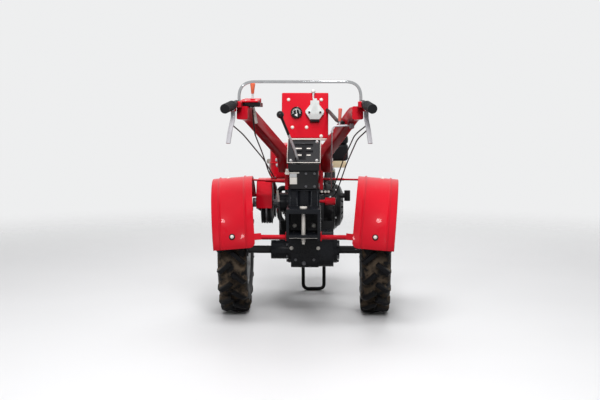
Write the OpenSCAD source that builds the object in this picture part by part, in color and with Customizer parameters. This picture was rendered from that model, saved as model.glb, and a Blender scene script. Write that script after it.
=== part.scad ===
// Two-wheel power tiller: an engine and gearbox on a short frame, driven wheels under
// fenders, long handle arms behind and a fold-down stand in front. Millimetres, +Y forward.

/* [Stance] */
// Distance from the axle back to the ends of the hand grips
rear_reach = 1040; // [1010:5:1080]
// Distance from the axle forward to the front of the bumper
front_reach = 800; // [700:5:900]
// Distance between the wheel centres
track = 654; // [560:2:720]
// Height of the hoop's top above the axle
hoop_top = 794; // [780:2:820]

/* [Wheels] */
// Diameter over the tread lugs
tyre_od = 590; // [560:2:650]
// Width of the tyre's section
tyre_w = 135; // [130:1:150]
// Diameter of the rim's bead seat
rim_d = 305; // [298:1:310]
// Lugs on each half of the tread
lug_count = 18; // [15:1:20]
// Height of a lug above the tread
lug_h = 24; // [18:1:28]
// Thickness of a lug
lug_t = 24; // [18:1:28]
// Diameter of the half shafts
shaft_d = 36; // [30:1:40]

/* [Fenders] */
// Clearance of a fender over the tread lugs
fender_gap = 46; // [40:1:55]
// Width of a fender
fender_w = 188; // [175:1:195]
// Lean of a fender's top away from the machine, in degrees
fender_cant = 4.5; // [0:0.5:8]
// Turn of a fender's rear end towards the machine, in degrees
fender_toe = 2; // [0:0.5:4]
// Fender's front end above the horizontal, in degrees
fender_front = 40; // [30:1:50]
// Fender's rear end above the horizontal, in degrees
fender_rear = 8; // [5:1:12]

/* [Gearbox] */
// Width of the upper gear case
case_w = 136; // [130:1:140]
// Depth of the lower case below the axle
case_drop = 72; // [66:1:80]
// Diameter of the vertical hitch pin
pin_d = 19; // [16:0.5:20]

/* [Drive] */
// Radius of the gearbox pulley
big_pulley_r = 100; // [94:1:104]
// Radius of the engine pulley
small_pulley_r = 60; // [54:1:64]
// Engine shaft behind the bumper's front
crank_back = 400; // [395:1:405]
// Lean of the cylinder above the horizontal, in degrees
cylinder_tilt = 25; // [22:1:28]

/* [Handles] */
// Width of the handle arm's tube
arm_w = 44; // [40:1:48]
// Diameter of a rubber grip
grip_d = 38; // [36:1:42]
// Diameter of the hoop's tube
hoop_d = 12; // [10:1:16]

/* [Stand] */
// Sideways place of the stand
stand_x = 29; // [20:1:34]
// Distance between the stand's legs
stand_w = 108; // [96:1:114]
// Stand's foot ahead of its hinge
stand_lean = 57; // [45:1:70]

/* [Hidden] */
$fn = 48;
axle_y = (rear_reach - front_reach) / 2;
axle_z = tyre_od / 2;
gap = 0.3;
fit = 0.05;
sheet = 3;
crank_y = front_reach - crank_back;

rim_r = rim_d / 2;
tread_r = tyre_od / 2 - lug_h;
fender_r = tyre_od / 2 + fender_gap;
fender_x = track / 2 - 11;
shaft_r = shaft_d / 2;
housing_end = 161;
case_x = case_w / 2;
low_right = 133;
case_back = -190;
case_front = 125;
case_top = 312;
box_top = 395;
base_top = 425;
plate_x = 75;
plate_t = 5;

gate_y = -305;
gate_run = 105;
gate_rise = 103;
dash_y = -206;
dash_z = 536;
dash_h = 209;
dash_lean = 77;
dash_left = -103;
dash_right = 108;

bracket_x = 75;
bracket_z0 = 92;
bracket_z1 = 231;
bracket_back = -380;

pulley_y = 70;
pulley_z = 216;
crank_z = 167;
tyre_inner = track / 2 - tyre_w / 2;
drive_x = 76 - tyre_inner;
pulley_half = 25.5;
belt_x = [drive_x - 13, drive_x + 13];
guard_x0 = drive_x - 46;
guard_x1 = drive_x + 28;

rail_x = 112;
rail_w = 36;
rail_z0 = -10;
rail_z1 = 35;
rail_front = front_reach - 110;
bed_top = 43;
stand_y = front_reach - 300;
stand_z = -33;
stand_r = 9;
stand_pin_r = 9;

block_left = drive_x + 83.5;
boss_x = drive_x + 58.5;
block_right = 85;
block_top = 265;
cylinder_x = -5;
fin_start = 140;
head_start = 240;
head_end = 262;
cover_end = 300;
head_half = 72;
fin_half = head_half + 6;
head_mid = (head_start + head_end) / 2;
head_y = crank_y + head_mid * cos(cylinder_tilt);
head_z = crank_z + head_mid * sin(cylinder_tilt);
cover_x = 70;
cleaner_z = 383;

hand_y = 180 - rear_reach;
hand_z = 711;
arm_h = arm_w + 8;
arm_x = plate_x + arm_w / 2 + gap;
arm_path = [[arm_x, -150, 400], [arm_x, -296, 478], [215, hand_y + 140, 658], [228, hand_y, 666]];
grip_root = [252, hand_y - 36, 702];
grip_tip = [281, hand_y - 175.5, 685];

quadrant_top = 32;

wire_r = 2.7;
guard_back = -48;
wire_z = 345;
wire_end = guard_back - gap;
clutch_wire = [[-263, hand_y - 57.8, 620.6], [-233, hand_y + 110, 576], [-168, -450, 455],
    [guard_x1 + 16, -120, wire_z + 5], [guard_x1 + 16, wire_end, wire_z]];
belt_wire = [[-192, hand_y + 74, 683], [-189, hand_y + 120, 583], [-173, -450, 480], [-158, -250, 384],
    [guard_x1 + 2, -120, wire_z + 7], [guard_x1 + 2, wire_end, wire_z]];
brake_wire = [[263, hand_y - 57.8, 620.6], [218, hand_y + 60, 578], [176, -420, 455], [130, -150, 300],
    [case_x + 2, -130, 270]];
lock_wire = [[266, hand_y - 73.8, 603.6], [228, hand_y + 60, 560], [190, -420, 438], [140, -120, 262],
    [case_x + 1.9, -95, 235]];

function unit(v) = v / norm(v);

// Points on an arc about c, from angle a0 to a1 in n steps.
function arc(c, r, a0, a1, n) =
    [for (i = [0 : n]) let (a = a0 + (a1 - a0) * i / n) c + r * [cos(a), sin(a)]];

// Outline of a rectangle with round corners, from corner a to corner b.
function rounded(a, b, r, n = 4) = concat(
    arc([b.x - r, b.y - r], r, 0, 90, n),
    arc([a.x + r, b.y - r], r, 90, 180, n),
    arc([a.x + r, a.y + r], r, 180, 270, n),
    arc([b.x - r, a.y + r], r, 270, 360, n));

// A path with its inner corners rounded off over the length d.
function bend(a, b, c, d, n) = let (p = b + d * unit(a - b), q = b + d * unit(c - b))
    [for (i = [0 : n]) let (t = i / n) (1 - t) * (1 - t) * p + 2 * t * (1 - t) * b + t * t * q];
function rounded_path(p, d, n = 5) = concat([p[0]],
    [for (i = [1 : len(p) - 2]) each bend(p[i - 1], p[i], p[i + 1], d, n)], [p[len(p) - 1]]);

// Outline of a round section, and of a square tube's section with cut corners.
function ring(r, sides) = [for (k = [0 : sides - 1]) r * [cos(360 * k / sides), sin(360 * k / sides)]];
function square_ring(w, h, cut) = rounded([-w / 2, -h / 2], [w / 2, h / 2], cut, 1);

// An outline of straight edges, drawn anticlockwise, moved inwards by d.
function normal(a, b) = let (t = unit(b - a)) [-t.y, t.x];
function inset(p, d) = [for (i = [0 : len(p) - 1])
    let (n = len(p), u = normal(p[(i + n - 1) % n], p[i]), v = normal(p[i], p[(i + 1) % n]))
    p[i] + d * (u + v) / (1 + u * v)];

// Outline of a belt's loop around two pulleys, given as [y, z] centres.
function loop(c1, r1, c2, r2) = let (d = c2 - c1, lean = atan2(d.y, d.x), open = acos((r1 - r2) / norm(d)))
    concat(arc(c1, r1, lean + open, lean + 360 - open, 24), arc(c2, r2, lean - open, lean + open, 16));

// A point of the right fender's own frame, seen from the axle.
function from_fender(p) = let (
    x = p.x * cos(fender_cant) + p.z * sin(fender_cant),
    z = p.z * cos(fender_cant) - p.x * sin(fender_cant))
    [fender_x + x * cos(fender_toe) + p.y * sin(fender_toe), p.y * cos(fender_toe) - x * sin(fender_toe), z];

// Height of what stands just clear under the dash, at a place y.
function under_dash(y) = dash_z - (y - dash_y) / tan(dash_lean) - gap;

// A solid through closed rings of points, with flat ends.
module loft(rings) {
    n = len(rings);
    m = len(rings[0]);
    walls = [for (i = [0 : n - 2], k = [0 : m - 1])
        [i * m + k, i * m + (k + 1) % m, (i + 1) * m + (k + 1) % m, (i + 1) * m + k]];
    first = [for (k = [0 : m - 1]) m - 1 - k];
    last = [for (k = [0 : m - 1]) (n - 1) * m + k];
    polyhedron([for (r = rings) each r], concat([first], walls, [last]));
}

// A section drawn along a path, kept upright.
module sweep(path, section) {
    n = len(path) - 1;
    loft([for (i = [0 : n])
        let (t = unit(path[min(i + 1, n)] - path[max(i - 1, 0)]),
            u = unit(cross(t, [0, 0, 1])),
            v = cross(u, t))
        [for (s = section) path[i] + s.x * u + s.y * v]]);
}

// A box with round edges, drawn as rings from the top down.
module soft_box(a, b, r, edge) {
    steps = [for (i = [0 : 3]) edge * [1 - sin(30 * i), 1 - cos(30 * i)]];
    levels = concat([for (s = steps) [s.x, b.z - s.y]],
        [for (i = [3 : -1 : 0]) [steps[i].x, a.z + steps[i].y]]);
    loft([for (l = levels)
        [for (p = rounded([a.x + l.x, a.y + l.x], [b.x - l.x, b.y - l.x], r - l.x)) [p.x, p.y, l.y]]]);
}

// A box from corner a to corner b.
module block(a, b) translate(a) cube(b - a);

// A round bar along X.
module bar_x(x0, x1, y, z, r) translate([x0, y, z]) rotate([0, 90, 0]) cylinder(h = x1 - x0, r = r);

// A round bar between two points.
module rod(a, b, r) {
    d = b - a;
    translate(a) rotate([0, acos(d.z / norm(d)), atan2(d.y, d.x)]) cylinder(h = norm(d), r = r);
}

// A side view, drawn as [y, z], given thickness from x0 to x1.
module side_view(x0, x1) translate([x0, 0, 0]) rotate([90, 0, 90]) linear_extrude(x1 - x0) children();

// A profile of [radius, x] turned about an axis along X.
module turned_x(y, z, profile) translate([0, y, z]) rotate([0, 90, 0]) rotate_extrude() polygon(profile);

module at_axle() translate([0, axle_y, axle_z]) children();
module other_side() mirror([1, 0, 0]) children();
module on_gate() translate([0, gate_y, base_top]) rotate([atan2(gate_rise, gate_run), 0, 0]) children();
module on_dash() translate([0, dash_y, dash_z]) rotate([dash_lean, 0, 0]) children();
module on_cylinder() translate([cylinder_x, crank_y, crank_z]) rotate([cylinder_tilt - 90, 0, 0]) children();
module in_fender() translate([fender_x, 0, 0]) rotate([0, fender_cant, -fender_toe]) children();

// The top of one straight length of the right handle arm, part of the way along it.
module on_arm(length, part) {
    a = arm_path[length];
    b = arm_path[length + 1];
    t = unit(b - a);
    u = unit(cross(t, [0, 0, 1]));
    v = cross(u, t);
    o = a + part * (b - a) + v * (arm_h / 2 + gap);
    multmatrix([[-u.x, -t.x, v.x, o.x], [-u.y, -t.y, v.y, o.y], [-u.z, -t.z, v.z, o.z], [0, 0, 0, 1]])
        children();
}

// Frame

module rail() {
    wall = 6;
    x0 = rail_x - rail_w / 2;
    difference() {
        block([x0, case_front + 12, rail_z0], [x0 + rail_w, rail_front, rail_z1]);
        block([x0 - 1, case_front + 13, rail_z0 + wall],
            [x0 + rail_w - wall, rail_front + 1, rail_z1 - wall]);
    }
}

module stand_lug() {
    r = 20;
    inner = stand_w / 2 + 15;
    side_view(inner, inner + 7) difference() {
        union() {
            translate([stand_y, stand_z]) circle(r);
            translate([stand_y - r, stand_z]) square([2 * r, rail_z0 - stand_z]);
        }
        translate([stand_y, stand_z]) circle(stand_pin_r);
    }
}

module frame_rails() color("dimgray") at_axle() {
    inner = rail_x - rail_w / 2;
    flange_top = 120;
    rail();
    other_side() rail();
    block([-130, case_front, rail_z0], [130, case_front + 12, flange_top]);
    block([-inner, case_front + 35, rail_z0], [inner, case_front + 65, rail_z1 - 8]);
    block([-inner, stand_y - 30, rail_z0], [inner, stand_y + 30, rail_z1 - 8]);
    block([-130, crank_y - 115, rail_z1], [130, crank_y + 120, bed_top]);
    block([-130, rail_front, rail_z0], [130, rail_front + 10, rail_z1 + 20]);
    translate([stand_x, 0, 0]) {
        stand_lug();
        other_side() stand_lug();
        bar_x(-stand_w / 2 - 26, stand_w / 2 + 26, stand_y, stand_z, stand_pin_r);
    }
}

module front_bumper() color("black") at_axle() {
    r = 14;
    y = front_reach - r;
    plate = rail_front + 10;
    path = [[-108, plate, 12], [-108, plate + 45, 12], [-160, y, 60], [-160, y, 220],
        [160, y, 220], [160, y, 60], [108, plate + 45, 12], [108, plate, 12]];
    sweep(rounded_path(path, 22), ring(r, 12));
    rod([-160, y, 120], [160, y, 120], r - 4);
}

// Gearbox and what stands on it

module axle_housing(from) {
    bar_x(from, housing_end, 0, 0, 44);
    bar_x(from, from + 16, 0, 0, 62);
}

module gearbox_case() color("black") at_axle() difference() {
    union() {
        side_view(-64, 64) polygon(rounded([-115, -case_drop], [case_front, 100], 30));
        side_view(64, low_right) polygon(rounded([-100, -case_drop], [100, 92], 45, 6));
        side_view(-case_x, case_x) polygon(rounded([case_back, 80], [case_front, case_top], 22));
        axle_housing(low_right);
        other_side() axle_housing(64);
        bar_x(boss_x, 0, pulley_y, pulley_z, 46);
    }
    bar_x(low_right - 20, 200, 0, 0, shaft_r + fit);
    other_side() bar_x(44, 200, 0, 0, shaft_r + fit);
    bar_x(boss_x - 10, boss_x + 30, pulley_y, pulley_z, 15 + gap);
}

module rear_cover() color("dimgray") at_axle() {
    back = -290;
    rib = 8;
    block([-70, back + rib, bracket_z1], [70, case_back, case_top]);
    for (x = [-66, -34, -2, 30, 58])
        block([x, back, bracket_z1 + 6], [x + rib, back + rib, case_top - 8]);
    block([-70, back, case_top - 8], [70, back + rib, case_top]);
    block([-70, back, bracket_z1], [70, back + rib, bracket_z1 + 6]);
}

module shift_box() color("black") at_axle() {
    ball_y = -245;
    translate([0, 0, case_top]) linear_extrude(box_top - case_top)
        polygon(rounded([-66, -296], [66, -192], 16));
    translate([-15, ball_y, box_top]) cylinder(h = 12, r = 17);
}

module handle_base() color("firebrick") at_axle() {
    edge = plate_x - plate_t;
    front = -120;
    crown = -190;
    cheek = [[gate_y, box_top], [front, box_top], [front, under_dash(front)], [crown, under_dash(crown)],
        [gate_y + gate_run, base_top + gate_rise], [gate_y, base_top]];
    difference() {
        block([-edge, gate_y, box_top], [edge, front, base_top]);
        block([-edge + 8, gate_y + 14, box_top - 1], [edge - 8, front - 12, base_top + 1]);
    }
    side_view(edge, plate_x) polygon(cheek);
    other_side() side_view(edge, plate_x) polygon(cheek);
    on_dash() block([-edge, -plate_t - gap, -50], [edge, -gap, -16]);
}

module shift_gate() color("gainsboro") at_axle() on_gate() {
    length = norm([gate_run, gate_rise]);
    slot = 16;
    reach = 40;
    rim = 6;
    linear_extrude(4) difference() {
        polygon(rounded([-plate_x, 0], [plate_x, length], 6));
        for (v = [70, 110])
            translate([-reach, v - slot / 2]) square([2 * reach, slot]);
        translate([-reach, 30 - slot / 2]) square([reach + slot / 2, slot]);
        translate([-slot / 2, 30]) square([slot, 80]);
    }
    translate([0, 0, 4]) linear_extrude(4) difference() {
        polygon(rounded([-plate_x, 0], [plate_x, length], 6));
        polygon(rounded([-plate_x + rim, rim], [plate_x - rim, length - rim], 3));
    }
}

module gear_lever() color("black") at_axle() {
    foot = [-15, -245, box_top + 12];
    path = [foot + [0, 0, 9], [-22, -262, 424], [-29, -283.6, 446], [-38, -306, 484], [-66, -352, 560],
        [-100, -382, 646]];
    translate(foot) cylinder(h = 14, r = 7.5);
    sweep(rounded_path(path, 9), ring(6, 10));
    translate(path[5]) sphere(16.5);
}

module dash_panel() color("red") at_axle() on_dash() {
    depth = 60;
    face = [[dash_left + 37, 0], [dash_right, 0], [dash_right, dash_h], [dash_left, dash_h],
        [dash_left, 84]];
    difference() {
        translate([0, 0, -depth]) linear_extrude(depth) polygon(face);
        translate([0, 0, -depth - 1]) linear_extrude(depth + 1 - sheet) polygon(inset(face, sheet));
    }
}

module gauge() color("black") at_axle() on_dash() translate([-36, 116, 0]) {
    r = 26;
    rotate_extrude() polygon([[0, 0], [r - 2, 0], [r, 3], [r, 11], [r - 3, 13], [r - 4, 9], [0, 9]]);
}

module lever_bracket() color("gray") at_axle() on_dash() translate([47, 82, 0]) {
    half = [[21, 0], [42, 31], [42, 40], [20, 68], [20, 86], [9.5, 87], [9.5, 96]];
    outline = concat(half, [for (i = [len(half) - 1 : -1 : 0]) [-half[i].x, half[i].y]]);
    linear_extrude(20) polygon(outline);
    for (x = [-25, 25])
        translate([x, 32, 20]) cylinder(h = 4, r = 6);
}

module throttle_lever() color("white") at_axle() on_dash() translate([40, 178 + gap, 10]) {
    stem = 34;
    ball_r = 9.5;
    rotate([-90, 0, 0]) cylinder(h = stem, r = 5);
    translate([0, stem, 0]) sphere(ball_r);
}

module hitch_bracket() color("black") at_axle() {
    wall = 12;
    roof = 20;
    hole_r = 6.5;
    floor_z = 104;
    edge = bracket_x - wall;
    front = case_back - wall;
    difference() {
        union() {
            block([-bracket_x, front, bracket_z0], [bracket_x, case_back, bracket_z1]);
            for (x = [-bracket_x, edge])
                block([x, bracket_back, bracket_z0], [x + wall, front, bracket_z1]);
            block([-edge, bracket_back, floor_z], [edge, front, floor_z + wall]);
            block([-edge, bracket_back, bracket_z1 - roof], [edge, front, bracket_z1]);
        }
        translate([0, bracket_back + 35, 0]) cylinder(h = 300, r = pin_d / 2 + gap);
        for (y = [bracket_back + 12, bracket_back + 112], z = [134, 202])
            bar_x(-100, 100, y, z, hole_r);
    }
}

module hitch_pin() color("silver") at_axle() translate([0, bracket_back + 35, 0]) {
    foot = 82;
    translate([0, 0, foot]) cylinder(h = bracket_z1 - foot, r = pin_d / 2);
    translate([0, 0, bracket_z1]) cylinder(h = 9, r = pin_d / 2 + 7);
    translate([0, 0, foot - 10]) cylinder(h = 10, r = pin_d / 2 - 3);
}

// Fenders

module fender() {
    half = fender_w / 2;
    rib_x = half - 36;
    r = fender_r;
    lip = 22;
    top = [[r, -half], [r, -rib_x - 8], [r + 5, -rib_x - 4], [r + 5, -rib_x + 4], [r, -rib_x + 8],
        [r, rib_x - 8], [r + 5, rib_x - 4], [r + 5, rib_x + 4], [r, rib_x + 8], [r, half]];
    under = [for (i = [len(top) - 2 : -1 : 0]) [top[i].x - sheet, top[i].y]];
    section = concat(top, [[r - lip, half], [r - lip, half - sheet], [r - sheet, half - sheet]], under);
    corner = 26;
    bite = 2;
    end_z = r * sin(fender_rear);
    in_fender() difference() {
        rotate([90, 0, 90]) rotate([0, 0, fender_front])
            rotate_extrude(angle = 180 - fender_rear - fender_front, $fn = 96) polygon(section);
        translate([-half - bite, 0, end_z - bite]) rotate([90, 0, 0]) linear_extrude(2 * r)
            polygon(concat([[-9, -9], [corner, -9]], arc([corner, corner], corner, 270, 180, 6),
                [[-9, corner]]));
    }
}
module fender_left() color("crimson") at_axle() other_side() fender();
module fender_right() color("crimson") at_axle() fender();

// A plate curved to the underside of a fender, centred at an angle above the front.
module under_fender(angle, x0, x1, thick, reach) {
    r = fender_r - sheet - gap - 2 * fit;
    span = asin(reach / r);
    in_fender() rotate([90, 0, 90]) rotate([0, 0, angle - span]) rotate_extrude(angle = 2 * span, $fn = 96)
        polygon([[r - thick, x0], [r, x0], [r, x1], [r - thick, x1]]);
}

// A low bar from the hitch bracket and a high one from the shift box, each under a fender.
module fender_stays(root_z, root_r) {
    inner_edge = -fender_w / 2;
    under = fender_r - sheet;
    pad_t = 6;
    bar_r = 11;
    tilt = asin(95 / under);
    bar_in = under - bar_r - 4;
    bar = from_fender([inner_edge - 6, -bar_in * cos(tilt), bar_in * sin(tilt)]);
    bar_x(bracket_x + 4, bar.x + 6, bar.y, bar.z, bar_r);
    under_fender(180 - tilt, inner_edge - 30, inner_edge + 20, pad_t, 14.5);
    block([bracket_x, bar.y - 23, bar.z - bar_r - 3], [bracket_x + 6, bar.y + 19, bar.z + 24]);

    lean = 2;
    clip_t = 7;
    rod_in = under - clip_t - 3;
    from = [73, -215, root_z];
    to = from_fender([inner_edge + 30, -rod_in * sin(lean), rod_in * cos(lean)]);
    rod(from, from + 0.52 * (to - from), root_r);
    rod(from + 0.5 * (to - from), to, 4.5);
    under_fender(90 + lean, inner_edge + 4, inner_edge + 50, clip_t, 16);
    block([66, -236, root_z - 18], [71, -195, root_z + 18]);
    block([70.5, -240, 306], [86, -234, 392]);
}
module fender_stays_left() color("crimson") at_axle() other_side() fender_stays(340, 7);
module fender_stays_right() color("crimson") at_axle() fender_stays(352, 6);

// Handles

module handle_arm() {
    wall = 4;
    mouth = unit(arm_path[0] - arm_path[1]);
    last = len(arm_path) - 1;
    bore = concat([arm_path[0] + mouth], [for (i = [1 : last - 1]) arm_path[i]],
        [arm_path[last] + 20 * unit(arm_path[last - 1] - arm_path[last])]);
    difference() {
        sweep(rounded_path(arm_path, 34), square_ring(arm_w, arm_h, 5));
        sweep(rounded_path(bore, 34), square_ring(arm_w - 2 * wall, arm_h - 2 * wall, 3));
    }
    block([228, hand_y - 40, hand_z - 24], [266, hand_y + 14, hand_z]);
    rod(grip_root - 0.1 * (grip_tip - grip_root), grip_root + 0.94 * (grip_tip - grip_root), 13);
    block([248, hand_y - 52, hand_z - 39], [272, hand_y - 30, hand_z - 19]);
}
module handle_arm_left() color("crimson") at_axle() other_side() handle_arm();
module handle_arm_right() color("crimson") at_axle() handle_arm();

module hoop() color("silver") at_axle() {
    x = 240;
    top = hoop_top - hoop_d / 2;
    foot = hand_z + 0.2;
    path = [[-x, hand_y, foot], [-x, hand_y - 1, top], [x, hand_y - 1, top], [x, hand_y, foot]];
    sweep(rounded_path(path, 62, 8), ring(hoop_d / 2, 12));
}

module grip() {
    d = unit(grip_tip - grip_root);
    difference() {
        rod(grip_root + 46 * d, grip_tip, grip_d / 2);
        rod(grip_root, grip_root + 0.95 * (grip_tip - grip_root), 13.1);
    }
}
module grip_left() color("black") at_axle() other_side() grip();
module grip_right() color("black") at_axle() grip();

module hand_lever() {
    path = [[260, hand_y - 42, hand_z - 39.5], [260.3, hand_y - 43.5, 645], [268, hand_y - 84, 602],
        [275, hand_y - 100, 550]];
    sweep(rounded_path(path, 12), square_ring(18, 8, 2));
}
module hand_lever_left() color("silver") at_axle() other_side() hand_lever();
module hand_lever_right() color("silver") at_axle() hand_lever();

module clutch_quadrant() color("crimson") at_axle() other_side() on_arm(2, 0.5) {
    wedge = [[-46, 16], [-46, 21], [46, 36], [46, 16]];
    block([-66, -38, 0], [8, 38, 17]);
    side_view(-58, 15) polygon(wedge);
    translate([-30, 0, 17]) cylinder(h = quadrant_top - 17, r = 9);
}

module clutch_lever() color("orangered") at_axle() other_side() on_arm(2, 0.5) {
    translate([-30, 0, quadrant_top + gap]) {
        cylinder(h = 22, r = 4.5);
        translate([0, 0, 20]) cylinder(h = 42, r1 = 6, r2 = 10.5);
    }
}

module diff_lever() color("silver") at_axle() {
    y = hand_y + 170;
    under = arm_h + 2 * gap;
    along = (arm_path[1].y - y - 12.4) / (arm_path[1].y - arm_path[2].y);
    hung = arm_path[1] + along * (arm_path[2] - arm_path[1]);
    low = [122, -228, 303];
    eye = [126, y, hung.z - 54];
    shaft = [eye, [131, y, hung.z - 33], [hung.x + 4.77, y, hung.z - 29]];
    translate(eye) sphere(6);
    rod(eye, low, 3);
    sweep(rounded_path(shaft, 9), ring(4, 10));
    rod([156, y, hung.z - 32], [157, y, hung.z - 10], 3.5);
    rod([157, y, hung.z - 13], [160, y, hung.z + 41], 8);
    on_arm(1, along) block([-8, -9, -under - 18], [8, 9, -under]);
    bar_x(cover_x, low.x - 4, low.y, low.z - 10, 9);
    rod(low + [0, 0, 4], low - [0, 0, 10], 8);
}

module pto_lever() color("crimson") at_axle() {
    y = -250;
    z = 254;
    bar_x(70, 96, y, z, 7);
    bar_x(94, 142, y, z, 18);
}

module cables() color("black") at_axle()
    for (route = [clutch_wire, belt_wire, brake_wire, lock_wire])
        sweep(rounded_path(route, 55), ring(wire_r, 8));

// Engine

module engine_block() color("dimgray") at_axle() {
    sump_top = bed_top + 16;
    side_view(block_left, block_right)
        polygon(rounded([crank_y - 100, bed_top], [crank_y + 105, block_top], 24));
    side_view(block_left - 12, block_right)
        polygon(rounded([crank_y - 112, bed_top], [crank_y + 114, sump_top], 6));
    side_view(block_left - 10, block_left)
        polygon(rounded([crank_y - 90, sump_top], [crank_y + 92, block_top - 14], 40, 6));
    bar_x(boss_x, block_left, crank_y, crank_z, 45);
    on_cylinder() translate([0, 0, 60]) cylinder(h = fin_start - 60, r = 56);
    for (x = [block_left + 10, 45], y = [crank_y - 90, crank_y + 62])
        block([x, y, block_top - 5], [x + 26, y + 26, 310]);
}

module engine_cylinder() color("silver") at_axle() on_cylinder() {
    fins = 9;
    pitch = (head_start - fin_start) / fins;
    translate([0, 0, fin_start]) cylinder(h = head_start - fin_start, r = 56);
    for (i = [1 : fins - 1])
        translate([0, 0, fin_start + i * pitch]) linear_extrude(4)
            polygon(rounded([-fin_half, -76], [fin_half, 76], 18));
    translate([0, 0, head_start]) linear_extrude(head_end - head_start)
        polygon(rounded([-head_half, -74], [head_half, 74], 12));
    translate([0, 0, head_end]) linear_extrude(cover_end - head_end)
        polygon(rounded([-58, -52], [58, 52], 16));
}

module fan_housing() color("black") at_axle() {
    r = 122;
    c = [crank_y, crank_z];
    shroud = concat(arc(c, r, 90, 300, 21), [c + [185, -40], c + [158, 178], c + [40, 166]]);
    side_view(block_right, 140) polygon(shroud);
}

module recoil_cover() color("black") at_axle() {
    face = 140;
    slots = 16;
    pull = [face + 60, crank_y - 72, crank_z + 58];
    difference() {
        turned_x(crank_y, crank_z,
            [[0, face], [108, face], [108, face + 8], [96, face + 26], [62, face + 41], [0, face + 41]]);
        for (i = [1 : slots])
            translate([0, crank_y, crank_z]) rotate([360 * i / slots, 0, 0])
                block([face + 14, -5, 52], [face + 60, 5, 88]);
    }
    bar_x(face, pull.x, pull.y, pull.z, 12);
    rod(pull - [0, 0, 26], pull + [0, 0, 26], 15);
}

module fuel_tank() color("red") at_axle() {
    soft_box([-184, crank_y - 112, 310], [78, crank_y + 112, 480], 42, 18);
}

module fuel_cap() color("black") at_axle() translate([-50, crank_y, 480]) {
    cylinder(h = 22, r = 34);
    for (i = [0 : 11])
        rotate([0, 0, 30 * i]) block([32, -4, 4], [37, 4, 20]);
}

module muffler() color("silver") at_axle() {
    side = cylinder_x - head_half;
    base = head_z + 22;
    soft_box([side - 122, head_y - 62, base], [side - 12, head_y + 62, base + 110], 24, 14);
    bar_x(side - 40, side, head_y, head_z, 10);
    translate([side - 28, head_y, head_z]) cylinder(h = 40, r = 14);
    rod([side - 95, head_y, base + 78], [side - 135, head_y + 40, base + 78], 13);
}

module air_cleaner() color("black") at_axle() {
    soft_box([92, crank_y + 130, cleaner_z], [206, crank_y + 268, 516], 30, 20);
}

module carburettor() color("silver") at_axle() {
    side = cylinder_x + head_half;
    bar_x(side, side + 20, head_y, head_z, 10);
    block([side + 12, head_y - 24, head_z - 26], [side + 64, head_y + 24, head_z + 26]);
    translate([side + 44, head_y, head_z + 20]) cylinder(h = cleaner_z - head_z - 20, r = 20);
    translate([side + 44, head_y, head_z - 58]) cylinder(h = 34, r = 22);
}

// Belt drive

module pulley(y, z, r) {
    depth = 14;
    groove = [for (x = belt_x) each [[r, x - 8.5], [r - depth, x - 4.5], [r - depth, x + 4.5], [r, x + 8.5]]];
    turned_x(y, z, concat([[0, drive_x - pulley_half], [r, drive_x - pulley_half]], groove,
        [[r, drive_x + pulley_half], [0, drive_x + pulley_half]]));
}

module engine_pulley() color("dimgray") at_axle() {
    pulley(crank_y, crank_z, small_pulley_r);
    bar_x(drive_x - 35, boss_x, crank_y, crank_z, 14);
}

module gearbox_pulley() color("dimgray") at_axle() {
    pulley(pulley_y, pulley_z, big_pulley_r);
    bar_x(drive_x - 50, boss_x + 25, pulley_y, pulley_z, 15);
    bar_x(7 - tyre_inner, drive_x - 47, pulley_y, pulley_z, 22);
}

module drive_belts() color("black") at_axle() {
    c1 = [pulley_y, pulley_z];
    c2 = [crank_y, crank_z];
    half = 4.3;
    for (x = belt_x)
        side_view(x - half, x + half) difference() {
            polygon(loop(c1, big_pulley_r - 1, c2, small_pulley_r - 1));
            polygon(loop(c1, big_pulley_r - 13.5, c2, small_pulley_r - 13.5));
        }
}

module belt_guard() color("crimson") at_axle() {
    x0 = guard_x0;
    x1 = guard_x1;
    top = 330;
    fall = 0.3 * crank_y;
    outer = [[guard_back, 200], [guard_back, 266], [5, top], [fall, top], [crank_y + 45, 256],
        [crank_y + 88, 212], [crank_y + 88, 120]];
    inner = [[guard_back + sheet, 199], [guard_back + sheet, 265], [7, top - sheet], [fall - 1, top - sheet],
        [crank_y + 43, 254], [crank_y + 85, 211], [crank_y + 85, 119]];
    difference() {
        side_view(x0, x1) polygon(outer);
        side_view(x0 + sheet, x1 + 1) polygon(inner);
        bar_x(x0 - 5, x0 + 10, pulley_y, pulley_z, 19);
    }
    block([x1 - 4, 20, top - 9], [-case_x, 60, top]);
    block([-case_x - 6, 20, 292], [-case_x, 60, top - 5]);
    block([x1 - 4, guard_back, top - 8], [x1 + 24, guard_back + 6, wire_z + 11]);
    block([x1 - 4, guard_back, top - 8], [x1 + 2, 30, top + 6]);
}

// Wheels

module lug() {
    turn = 40;
    mid = 0.235 * tyre_w;
    half = 0.225 * tyre_w / cos(turn);
    reach = half * sin(turn) + lug_t / 2 * cos(turn);
    top = sqrt(pow(tyre_od / 2, 2) - pow(reach, 2));
    face = [[-half, tread_r - 12], [half, tread_r - 34], [half, top - 16], [half - 18, top], [-half, top]];
    translate([mid, 0, 0]) rotate([0, 0, -turn]) translate([0, lug_t / 2, 0]) rotate([90, 0, 0])
        linear_extrude(lug_t) polygon(face);
}

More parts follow.
